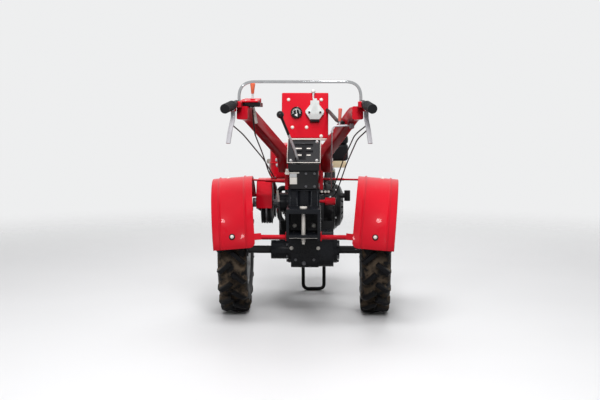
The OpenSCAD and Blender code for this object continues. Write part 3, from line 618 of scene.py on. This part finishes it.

# The column's foot: two red cheek plates welded to a flange over the shift box, bolted down,
# with a bright clevis on its left for the clutch rod. The cheeks and the cross piece under the dash
# are drawn in a darker red, and the flange in black, as painted shade.


def slab(outline, start, end, edge):
    """A plate cut to a side view, drawn as (y, z), from start to end across, its edges eased."""
    bm = drawn_out([(start, y, z) for y, z in outline], (end - start, 0, 0))
    eased(bm, bm.edges, edge, 2)
    return bm


dash_lean = radians(77)
on_dash = Matrix.Translation((0, -206, 536)) @ Matrix.Rotation(dash_lean, 4, "X")
# The darker red of the cheeks and of the cross piece under the dash is painted shade.
red_painted_shade = enamel("red_painted_shade", (0.32, 0.003, 0.011), 0.3, 0.08, 0.1)
cheek = [(-305, 395), (-120, 395), (-120, 515.8), (-190, 532), (-200, 528), (-305, 425)]
cross = moved(soft_box((-70, -5.3, -50), (70, -0.3, -16), 1.5, 0.8), on_dash)
cheeks = [slab(cheek, 70, 75, 1), slab(cheek, -75, -70, 1), cross]
new_piece("column_cheeks", cheeks, red_painted_shade, "handle_base")
# The flange is drawn black where it lies in shade under the gate: painted shade.
flange = [soft_box((-70, -305, 395), (70, -291, 425), 3, 1.5),
          soft_box((-70, -132, 395), (70, -120, 425), 3, 1.5),
          soft_box((-70, -292, 395), (-62, -131, 425)),
          soft_box((62, -292, 395), (70, -131, 425))]
new_piece("column_flange", flange, black_gloss)
clevis = [soft_box((-81, -311, 378), (-75.5, -299, 404)),
          soft_box((-72.5, -311, 378), (-67, -299, 404)),
          soft_box((-81, -311, 396), (-67, -299, 404))]
clevis_pin = round_bar([(-84, -305, 384), (-64, -305, 384)], 3.5, 16, 0.8)
new_piece("rod_clevis", [clevis, clevis_pin], cream_zinc)

# The shift gate: a polished plate with slots for the lever, drawn dark as a painted reflection of
# dark surroundings, with bright strips at its slots and round its edge that are painted highlights,
# bolted over a black rubber sheet, and the bent lever with its moulded ball.
gate_lean = atan2(103, 105)
on_gate = Matrix.Translation((0, -305, 425)) @ Matrix.Rotation(gate_lean, 4, "X")
# The polished plate is drawn dark: a painted reflection of dark surroundings.
gate_dark_reflection = plated("gate_dark_reflection", (0.045, 0.045, 0.048), 0.14, metallic=0.6)
solid_piece("gate_plate", "shift_gate", 0.8, gate_dark_reflection)
rubber_skin = moved(soft_box((-68, 8, -4), (68, 138, -1), 3, 1), on_gate)
black_rubber = cured("black_rubber", (0.008, 0.008, 0.009), 0.5)
new_piece("gate_rubber", rubber_skin, black_rubber)
out_of_gate = on_gate.col[2].xyz
gate_bolts = [bolt(on_gate @ Vector((x, y, 4)), out_of_gate, 10, 6) for x in (-58, 58) for y in (16, 130)]
new_piece("gate_bolts", gate_bolts, bright_plate)
# Bright strips at the slots and round the plate's edge: painted highlights.
gate_highlights = [soft_box((x, y - 3, 3), (x + width, y + 3, 5), 1.5, 0.6)
        for x, width in ((-40, 30), (12, 18)) for y in (50, 90)]
gate_highlights += [soft_box((-74.5, y, 6), (74.5, y + 3, 8.6), 1, 0.6) for y in (0.6, 143.4)]
gate_highlights += [soft_box((x, 3, 6), (x + 2.4, 144, 8.6), 1, 0.6) for x in (-74.5, 72.1)]
new_piece("gate_highlight_strips", [moved(part, on_gate) for part in gate_highlights], cream_zinc)
lever_corners = [(-15, -245, 416), (-22, -262, 424), (-29, -283.6, 446), (-38, -306, 484),
                 (-66, -352, 560), (-100, -382, 646)]
lever_path = rounded_path(lever_corners, 9)
collar = turned([(0, 0), (7.5, 0), (7.5, 12), (6, 14), (0, 14)], facing((-15, -245, 407), upward), 24)
bare_length = sum(point.z < 560 for point in lever_path)
bare_rod = round_bar(lever_path[:bare_length], 6)
new_piece("shift_rod", [bare_rod, collar], zinc, "gear_lever")
new_piece("shift_rod_top", round_bar(lever_path[bare_length - 1:], 6), black_satin)


def ball(centre, axis, radius, neck):
    """A moulded lever ball with a short neck below it."""
    low = asin(neck / radius)
    arc = [(radius * sin(turn), -radius * cos(turn))
           for turn in (low + (pi - low) * step / 14 for step in range(15))]
    foot = [(0, -radius - 4), (neck - 0.6, -radius - 4), (neck, -radius - 3)]
    return turned(foot + arc[:-1] + [(0, radius)], facing(centre, axis), 32)


lever_way = Vector((-34, -30, 86)).normalized()
new_piece("shift_ball", ball(lever_corners[-1], lever_way, 16.5, 7.5), black_gloss)

# The dash: a red sheet-steel box that leans back over the gate, open in front, fixed by bright
# rivets, with a round gauge, the throttle's bracket and its white knob.
dash_outline = [(-66, 0), (108, 0), (108, 209), (-103, 209), (-103, 84)]
dash = folded(dash_outline, 60, on_dash, [(0, 0, -1)], 5, 2.5)
new_piece("dash_box", dash, red_gloss, "dash_panel")
out_of_dash = on_dash.col[2].xyz


def dome(point, normal, radius, height):
    """A low domed rivet or cap head."""
    turns = [pi / 2 * step / 5 for step in range(5)]
    arc = [(radius * cos(turn), height * sin(turn)) for turn in turns]
    return turned([(0, 0)] + arc + [(0, height)], facing(point, normal), 20)


rivets = [dome(on_dash @ Vector((x, y, 0)), out_of_dash, 8, 4)
          for x, y in ((-72, 176), (76, 176), (-54, 49), (10, 49), (76, 9))]
new_piece("dash_rivets", rivets, cream_zinc)

gauge_place = on_dash @ Matrix.Translation((-36, 116, 0))
bezel = turned([(0, 0), (24, 0), (26, 3), (26, 11), (24.5, 12.7), (23, 13), (22, 11), (22, 9), (0, 9)],
               gauge_place, 48)
new_piece("gauge_case", bezel, black_gloss, "gauge")
marks = [(soft_box((-1.1, 13.5 if mark % 5 else 12, 9), (1.1, 19.5, 9.6), 0.2, 0.1), 100 - 20 * mark)
         for mark in range(11)]
marks.append((soft_box((-1.2, -5, 9.6), (1.2, 16, 10.4), 0.3, 0.15), 8))
marks = [moved(mark, gauge_place @ Matrix.Rotation(radians(angle), 4, "Z")) for mark, angle in marks]
field_place = gauge_place @ Matrix.Translation((0, -12, 9.4)) @ Matrix.Rotation(pi / 2, 4, "Z")
field = bmesh.new()
bmesh.ops.create_cone(field, cap_ends=True, segments=3, radius1=9, radius2=9, depth=0.6,
                      matrix=field_place)
white_plastic = moulded("white_plastic", (0.82, 0.82, 0.80), 0.3, 0.08)
new_piece("gauge_marks", [marks, field], white_plastic)

grey_casting = casting("grey_casting", (0.60, 0.63, 0.62), 0.34, 0.2, 0.0002)
solid_piece("throttle_bracket", "lever_bracket", 2.5, grey_casting, segments=3)
throttle_place = on_dash @ Matrix.Translation((40, 178.3, 10))
throttle_way = on_dash.col[1].xyz
stem = round_bar([throttle_place.translation, throttle_place @ Vector((0, 30, 0))], 4)
knob = ball(throttle_place @ Vector((0, 34, 0)), throttle_way, 9.5, 5)
new_piece("throttle_stem", stem, bright_plate)
new_piece("throttle_knob", knob, white_plastic, "throttle_lever")
bracket_screws = [dome(on_dash @ Vector((47 + x, 114, 24)), out_of_dash, 4.6, 2.5) for x in (-25, 25)]
new_piece("bracket_screws", bracket_screws, black_satin)
# A black band across the bracket's foot: a painted shadow.
bracket_shadow_band = moved(soft_box((26, 73, 0), (68, 82, 17)), on_dash)
new_piece("bracket_shadow", bracket_shadow_band, black_satin)
cross_strip = soft_box((-66, -214, 528), (108, -208, 535), 1.5, 1)
new_piece("dash_strip", cross_strip, cream_zinc)

# The fenders: red pressings over the tyres with two ribs rolled along them and a turned-down
# outer edge, each on a bar from the hitch and a rod from the shift box.


def flipped(bm):
    """The same shape for the machine's other side."""
    bmesh.ops.scale(bm, vec=(-1, 1, 1), verts=bm.verts)
    bmesh.ops.reverse_faces(bm, faces=bm.faces)
    return bm


def sided(side, shapes):
    """The shapes drawn for the right side, flipped where the left side's are wanted."""
    return [flipped(shape) if side < 0 else shape for shape in flatten(shapes)]


sides = ((-1, "left"), (1, "right"))
fender_radius, fender_half, fender_sheet = 341, 94, 3
fender_turn = Matrix.Rotation(radians(-2), 4, "Z") @ Matrix.Rotation(radians(4.5), 4, "Y")
fender_place = Matrix.Translation((316, 0, 0)) @ fender_turn


def fender_shell():
    """The right fender's sheet: its cross section spun about the axle, then its corner rounded."""
    half, rib = fender_half, 58
    start, sweep, lip = (radians(angle) for angle in (40, 122, 10))
    rise = [(-8, 0), (-5.5, 0.8), (-3, 3.8), (0, 5), (3, 3.8), (5.5, 0.8), (8, 0)]
    section = [(-half, 0)] + [(-rib + x, up) for x, up in rise] + [(rib + x, up) for x, up in rise]
    section += [(half - 4, 0), (half - 1.2, -1.2), (half, -4), (half, -22)]
    bm = bmesh.new()
    line = [bm.verts.new((x, fender_radius + up, 0)) for x, up in section]
    edges = [bm.edges.new(pair) for pair in zip(line, line[1:])]
    bmesh.ops.rotate(bm, verts=line, matrix=Matrix.Rotation(start, 3, "X"))
    main = bmesh.ops.spin(bm, geom=line + edges, axis=(1, 0, 0), angle=sweep, steps=40)
    bmesh.ops.spin(bm, geom=main["geom_last"], axis=(1, 0, 0), angle=lip, steps=2)
    outward(bm)
    if sum(face.normal.dot((0, *face.calc_center_median().yz)) for face in bm.faces) < 0:
        bmesh.ops.reverse_faces(bm, faces=bm.faces)
    corners = [vert for vert in bm.verts if len(vert.link_faces) == 1 and vert.co.y < 0 and vert.co.x < 0]
    eased(bm, corners, 26, 6, "VERTICES")
    return moved(bm, fender_place)


def fender_point(x, angle, lift=0.0):
    """A point on the right fender's outside and its normal, at an angle above the front."""
    way = Vector((0, cos(radians(angle)), sin(radians(angle))))
    return fender_place @ (Vector((x, 0, 0)) + (fender_radius + lift) * way), fender_place.to_3x3() @ way


def fender_stay(root_height, root_radius):
    """The right fender's lower bar with its flat end and plate, and the thin upper rod."""
    under = fender_radius - fender_sheet
    inner = -fender_half
    seat = fender_place @ Matrix.Rotation(-asin(95 / under), 4, "X")
    bar_end = seat @ Vector((inner - 6, 15 - under, 0))
    bar = round_bar([(79, *bar_end.yz), (bar_end.x + 6, *bar_end.yz)], 11, 20, 2)
    pad = moved(soft_box((inner - 30, 0.7 - under, -14.5), (inner + 20, 6.5 - under, 14.5)), seat)
    plate = soft_box((75, bar_end.y - 23, bar_end.z - 14), (81, bar_end.y + 19, bar_end.z + 24))
    lean = fender_place @ Matrix.Rotation(radians(2), 4, "X")
    root = Vector((73, -215, root_height))
    top = lean @ Vector((inner + 30, 0, under - 10))
    upper = [round_bar([root, root.lerp(top, 0.52)], root_radius, 20, 2),
             round_bar([root.lerp(top, 0.5), top], 4.5)]
    clip = moved(soft_box((inner + 4, -16, under - 7.4), (inner + 50, 16, under - 0.8)), lean)
    ear = soft_box((66, -236, root_height - 18), (71, -195, root_height + 18))
    strip = soft_box((70.5, -240, 306), (86, -234, 392))
    return [bar, pad, plate, upper, clip, ear, strip]


for (side, mark), root in zip(sides, ((340, 7), (352, 6))):
    shell = new_piece(f"fender_skin_{mark}", sided(side, fender_shell()), red_gloss,
                      f"fender_{mark}")
    skin = shell.modifiers.new("sheet", "SOLIDIFY")
    skin.thickness = 0.001 * fender_sheet
    skin.offset = -1
    rim = shell.modifiers.new("rim", "BEVEL")
    rim.width = 0.0009
    rim.segments = 2
    rim.angle_limit = radians(50)
    new_piece(f"fender_bars_{mark}", sided(side, fender_stay(*root)), red_gloss,
              f"fender_stays_{mark}")
    studs = [dome(*fender_point(6, 162.6, 2), 9, 5), dome(*fender_point(19, 92.5), 9, 7)]
    new_piece(f"fender_studs_{mark}", sided(side, studs), cream_zinc)
    cup = dome(*fender_point(6, 162.6), 14, 3)
    new_piece(f"fender_cup_{mark}", sided(side, cup), black_satin)

# The handle arms: square steel tubes bent up and back from the column's foot, painted red, with
# a welded block and hanger at the hand end. The chromed hoop stands on both blocks.
arm_width, arm_height = 44, 52
arm_corners = [(97.3, -150, 400), (97.3, -296, 478), (215, -720, 658), (228, -860, 666)]
arm_path = rounded_path(arm_corners, 34)
for side, mark in sides:
    tube = square_bar(arm_path, arm_width, arm_height, 6)
    block = soft_box((228, -900, 687), (266, -846, 711), 5, 3)
    hanger = soft_box((248, -912, 672), (272, -890, 692), 3, 2)
    new_piece(f"arm_tube_{mark}", sided(side, [tube, block, hanger]), red_gloss,
              f"handle_arm_{mark}")
    arm_bolts = [bolt((side * 119.3, y, z), (side, 0, 0), 15, 9) for y, z in ((-168, 410), (-216, 437))]
    new_piece(f"arm_bolts_{mark}", arm_bolts, zinc)

chrome = plated("chrome", (0.46, 0.47, 0.48), 0.1, 0.02, 0.85)
hoop_corners = [(-240, -860, 711.2), (-240, -861, 788), (240, -861, 788), (240, -860, 711.2)]
hoop = round_bar(rounded_path(hoop_corners, 62, 12), 6, 24)
new_piece("hoop_tube", hoop, chrome, "hoop")

# The hand grips: ribbed black rubber pushed on to the arms' ends, and under each a flat steel
# clutch lever, painted silver, that hangs from the hanger by a bolt.
grip_root, grip_tip = Vector((252, -896, 702)), Vector((281, -1035.5, 685))
grip_line = grip_tip - grip_root
grip_way, grip_end = grip_line.normalized(), grip_line.length
grip_rings = 9
grip_profile = [(13.1, 46), (16, 46), (18.9, 47), (18.9, 51), (17.5, 52)]
for ring in range(grip_rings):
    start = 53 + ring * (grip_end - 64) / grip_rings
    grip_profile += [(17.4, start), (18.7, start + 1.5), (18.7, start + 6.5), (17.4, start + 8)]
grip_profile += [(18.9, grip_end - 9), (18.9, grip_end - 3), (16.5, grip_end - 0.4), (0, grip_end)]
lever_silver = enamel("lever_silver", (0.60, 0.585, 0.62), 0.3, 0.2)
squeeze = rounded_path([(260, -902, 671.5), (260.3, -903.5, 645), (268, -944, 602), (275, -960, 550)], 12)
for side, mark in sides:
    grip = turned(grip_profile, facing(grip_root, grip_way), 32)
    new_piece(f"grip_rubber_{mark}", sided(side, grip), black_rubber, f"grip_{mark}")
    core = round_bar([grip_root - 0.1 * grip_line, grip_root + 52 * grip_way], 13)
    new_piece(f"grip_core_{mark}", sided(side, core), black_satin)
    lever = square_bar(squeeze, 18, 8, 2.5)
    new_piece(f"squeeze_lever_{mark}", sided(side, lever), lever_silver, f"hand_lever_{mark}")
    pivot = bolt((260 * side, -912, 682), backward, 11, 7)
    new_piece(f"squeeze_pivot_{mark}", pivot, zinc)

# The belt clutch: a black box under a red quadrant plate on the left arm, with an orange moulded
# lever standing in it.


def on_arm(length, part):
    """The placing on the top of a straight length of the right arm, part of the way along it."""
    start, end = Vector(arm_corners[length]), Vector(arm_corners[length + 1])
    way = (end - start).normalized()
    side = way.cross(upward).normalized()
    up = side.cross(way)
    spot = start.lerp(end, part) + (arm_height / 2 + 0.3) * up
    return Matrix.Translation(spot) @ Matrix((-side, -way, up)).transposed().to_4x4()


clutch_place = on_arm(2, 0.5)
out_of_clutch = clutch_place.col[2].xyz
case = soft_box((-66, -38, 0), (8, 38, 16.5), 4, 2)
quadrant = slab([(-46, 16), (46, 16), (46, 36), (-46, 21)], -58, 15, 1.5)
boss = turned([(0, 17), (9, 17), (9, 31.4), (8.4, 32), (0, 32)], Matrix.Translation((-30, 0, 0)), 24)
case, quadrant, boss = (flipped(moved(part, clutch_place)) for part in (case, quadrant, boss))
new_piece("clutch_box", case, black_satin, "clutch_quadrant")
new_piece("quadrant_plate", [quadrant, boss], red_gloss)
link = [square_bar([(-191, -790, 690), (-186, -772, 668), (-179, -758, 622)], 9, 12, 2),
        bolt((-184, -776, 660), backward, 9, 5)]
new_piece("clutch_link", link, cream_zinc)
pins = [dome(clutch_place @ Vector((x, y, 28.4 + 0.163 * y)), out_of_clutch, 4, 3)
        for x, y in ((-50, -30), (-8, -34), (8, 20))]
new_piece("quadrant_pins", [flipped(pin) for pin in pins], cream_zinc)
orange_plastic = moulded("orange_plastic", (0.90, 0.20, 0.10), 0.3, 0.1)
lever_place = clutch_place @ Matrix.Translation((-30, 0, 32.3))
shank = turned([(0, 0), (4.5, 0), (4.5, 21), (0, 21)], lever_place, 24)
handle = turned([(0, 20), (5, 20), (6, 21), (7.5, 38), (10, 55), (10.3, 59), (8, 61.6), (0, 62)],
                lever_place, 28)
new_piece("clutch_shank", flipped(shank), bright_plate)
new_piece("clutch_handle", flipped(handle), orange_plastic, "clutch_lever")

# The lock lever on the right: a bright shaft under the arm with an orange grip standing on it, and
# a plated rod down to the rear cover's arm; below it the red power take-off knob.
lock_y = -690
lock_eye, lock_low = Vector((126, lock_y, 586)), Vector((122, -228, 303))
lock_shaft = round_bar(rounded_path([lock_eye, (131, lock_y, 607), (208, lock_y, 611)], 9), 4, 16)
lock_rod = round_bar([lock_eye, lock_low], 3, 14)
lock_ring = turned([(0, -4), (5, -4), (6, -3), (6, 3), (5, 4), (0, 4)], facing(lock_eye, forward), 24)
lock_arm = [round_bar([(70, -228, 293), (118, -228, 293)], 9, 20, 1),
            round_bar([lock_low - Vector((0, 0, 10)), lock_low + Vector((0, 0, 4))], 8, 20, 1)]
hanger = moved(soft_box((-8, -9, -arm_height - 18.6), (8, 9, -arm_height - 0.6)), on_arm(1, 0.9))
lock_stem = round_bar([(156, lock_y, 608), (157, lock_y, 630)], 3.5)
new_piece("lock_shaft", [lock_shaft, hanger, lock_stem], lever_silver, "diff_lever")
new_piece("lock_rod", [lock_rod, lock_ring], zinc)
lock_pins = [bolt((x, -236, 296), backward, 9, 6) for x in (80, 96, 110)]
new_piece("lock_pins", lock_pins, cream_zinc)
new_piece("lock_arm", lock_arm, black_satin)
lock_way = Vector((3, 0, 54)).normalized()
lock_grip = turned([(3.5, 0), (5, 0), (6.5, 2), (7, 30), (8, 48), (7, 52.5), (4, 54), (0, 54)],
                   facing((157, lock_y, 627), lock_way), 28)
faded_plastic = moulded("faded_plastic", (0.80, 0.20, 0.16), 0.34, 0.1)
new_piece("lock_grip", lock_grip, faded_plastic)
knob = turned([(0, -24), (7, -24), (7, 0), (15, 0), (18, 3), (17, 20), (18, 42), (15, 47), (6, 48),
               (0, 48)], facing((94, -250, 254), (1, 0, 0)), 32)
new_piece("power_knob", knob, red_gloss, "pto_lever")

# The control cables: steel wires in black plastic conduit, from the levers down to the guard's tab
# and the gear case, held at both ends, with the belt clutch's spring and a black hose from the dash
# to the right arm.
conduits = [
    [(-263, -917.8, 620.6), (-233, -750, 576), (-168, -450, 455), (-139.5, -120, 350),
     (-139.5, -48.3, 345)],
    [(-192, -786, 683), (-189, -740, 583), (-173, -450, 480), (-158, -250, 384), (-153.5, -120, 352),
     (-153.5, -48.3, 345)],
    [(263, -917.8, 620.6), (218, -800, 578), (176, -420, 455), (130, -150, 300), (70, -130, 270)],
    [(266, -933.8, 603.6), (228, -800, 560), (190, -420, 438), (140, -120, 262), (69.9, -95, 235)],
]
conduit_plastic = moulded("conduit_plastic", (0.015, 0.015, 0.016), 0.42)
cable_radius, cable_bend = 2.7, 55
cables = [round_bar(rounded_path(route, cable_bend), cable_radius, 14) for route in conduits]
new_piece("conduits", cables, conduit_plastic, "cables")
ferrules = [round_bar([route[-1], Vector(route[-1]).lerp(Vector(route[-2]), 0.3)], 3.8, 16, 0.8)
            for route in conduits]
new_piece("ferrules", ferrules, zinc)
coils = [(6 if step % 2 else 4.2, 2.5 * step) for step in range(22)]
spring = turned([(0, 0)] + coils + [(0, 55)], facing((-122, -58, 232), (-8, 0, 55)), 16)
new_piece("belt_spring", spring, cream_zinc)
spring_wire = [round_bar(ends, 2, 12) for ends in ([(-122, -58, 234), (-113, -58, 100)],
                                                   [(-130, -58, 285), (-146, -52, 340)])]
new_piece("spring_wire", spring_wire, dark_zinc)
loom_path = rounded_path([(98, -160, 664), (112, -206, 655), (147, -620, 628), (172, -676, 620)], 40)
new_piece("loom", round_bar(loom_path, 8, 18), conduit_plastic)

# The wheels: grooved farm tyres with slanted bars in two staggered rows on pressed rims, bolted
# to the half shafts' flanges.
tyre_width, tyre_radius, tyre_bars = 135, 295, 18


def tyre_lug():
    """One tread bar: a bevelled block that leans towards its top and slants across half the tread."""
    slant, thick = radians(40), 24
    half = 0.225 * tyre_width / cos(slant)
    top = sqrt(tyre_radius ** 2 - (half * sin(slant) + thick / 2 * cos(slant)) ** 2)
    outline = [(-half, 259), (half, 237), (half, top - 18), (half - 8, top - 5), (half - 20, top),
               (-half, top)]
    bm = drawn_out([(x, thick / 2, z) for x, z in outline], (0, -thick, 0))
    crown = [vert for vert in bm.verts if vert.co.z > 262]
    bmesh.ops.scale(bm, vec=(1, 0.8, 1), verts=crown)
    eased(bm, bm.edges, 2.6, 2)
    return moved(bm, Matrix.Translation((0.235 * tyre_width, 0, 0)) @ Matrix.Rotation(-slant, 4, "Z"))


def tyre():
    """The right tyre about its own middle: a spun carcass and two rows of bars."""
    wall = [(152.5, 0.317), (158, 0.369), (166.5, 0.383), (176, 0.414), (191, 0.472), (210, 0.497),
            (226, 0.5), (238, 0.486), (247, 0.46), (256, 0.414), (263, 0.359), (268, 0.248), (271, 0.117)]
    hollow = [(256, 0.1), (245, 0.338), (226, 0.42), (197, 0.41), (152.5, 0.241)]
    near = [(r, x * tyre_width) for r, x in wall]
    inside = [(r, x * tyre_width) for r, x in hollow]
    far = [(r, -x) for r, x in [*reversed(near), *reversed(inside)]]
    profile = near + [(271.5, 0)] + far + inside + [near[0]]
    shapes = [turned(profile, Matrix.Rotation(pi / 2, 4, "Y"), 96)]
    for row, shift in ((1, 0), (-1, 0.5)):
        for bar in range(tyre_bars):
            roll = Matrix.Rotation(tau * (bar + shift) / tyre_bars, 4, "X")
            shapes += [moved(lug, roll) for lug in sided(row, tyre_lug())]
    return shapes


tyre_rubber, place, feed = new_finish("tyre_rubber", specular_ior_level=0.1)
offset = place.node("VectorMath", {"operation": "SUBTRACT"}, {0: place, 1: axle})
flat = place.node("VectorMath", {"operation": "MULTIPLY"}, {0: offset, 1: (0, 1, 1)})
radius = flat.length()
groove, tread = radius.between(0.285, 0.262), radius.between(0.236, 0.252)
dust = groove * tread * place.noise(30.0, 5.0).between(0.42, 0.62)
feed("Base Color", dust.blend((0.007, 0.007, 0.008), (0.20, 0.15, 0.105)))
feed("Roughness", 0.42 + 0.3 * dust + 0.1 * place.noise(35.0, 4.0))
feed("Normal", place.noise(420.0, 3.0).bump(0.3, 0.0004))
rim_silver = enamel("rim_silver", (0.46, 0.47, 0.48), 0.3, 0.4)
shaft_black = enamel("shaft_black", (0.02, 0.02, 0.021), 0.36, 0.1)
wheel_middle, nut_face, nut_circle = 327, 346.9, 52
nut_seats = [(nut_circle * sin(turn), nut_circle * cos(turn))
             for turn in (radians(72 * nut) for nut in range(5))]
for side, mark in sides:
    wheel = f"wheel_{mark}"
    place = Matrix.Translation((wheel_middle * side, 0, 0))
    shapes = [moved(shape, place) for shape in sided(side, tyre())]
    new_piece(f"lugged_tyre_{mark}", shapes, tyre_rubber, f"tyre_{mark}", wheel)
    solid_piece(f"pressed_rim_{mark}", f"rim_{mark}", 1.5, rim_silver, body=wheel)
    solid_piece(f"axle_shaft_{mark}", f"half_shaft_{mark}", 1.5, shaft_black, body=wheel)
    nuts = [bolt((side * nut_face, y, z), (side, 0, 0), 17, 10) for y, z in nut_seats]
    new_piece(f"wheel_nuts_{mark}", nuts, zinc, body=wheel)
